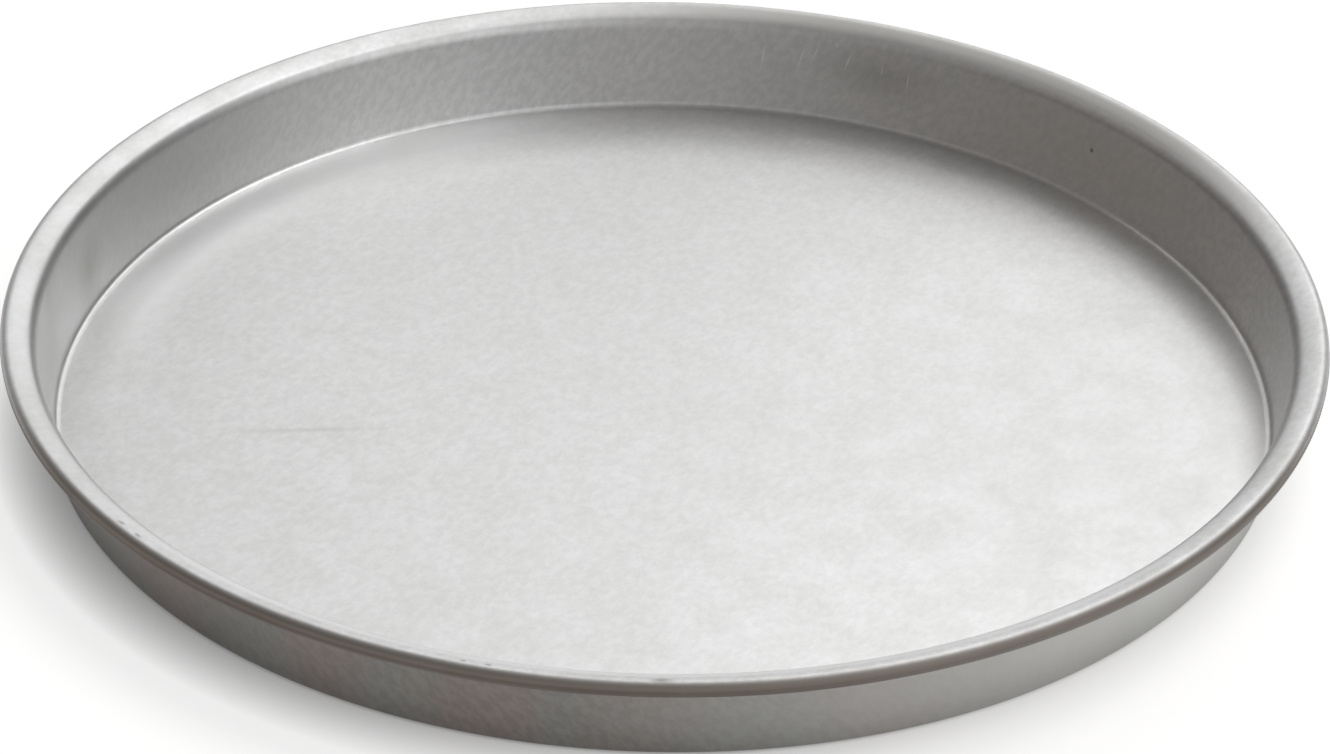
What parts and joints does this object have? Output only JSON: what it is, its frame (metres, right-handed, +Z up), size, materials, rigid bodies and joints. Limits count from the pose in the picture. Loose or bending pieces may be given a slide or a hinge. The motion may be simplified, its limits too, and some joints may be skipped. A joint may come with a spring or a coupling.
{
  "type": "baking pan",
  "caption": "Round shallow baking pan with a flat floor, a wall that leans outward and a rolled rim curled over a stiffening wire.",
  "frame": {"origin": "centre of the underside, on the surface that the pan stands on", "axes": "+Z up along the pan's axis; X and Y are free, because the pan is round"},
  "size_m": [0.315, 0.315, 0.026],
  "materials": {
    "pan_sheet": "satin rolled sheet, uncoated, with a fine mottled grain and light use marks",
    "rim_wire": "drawn galvanised wire"
  },
  "bodies": {
    "root": {"pan_body": "pan_sheet", "rim_wire": "rim_wire"}
  },
  "joints": []
}
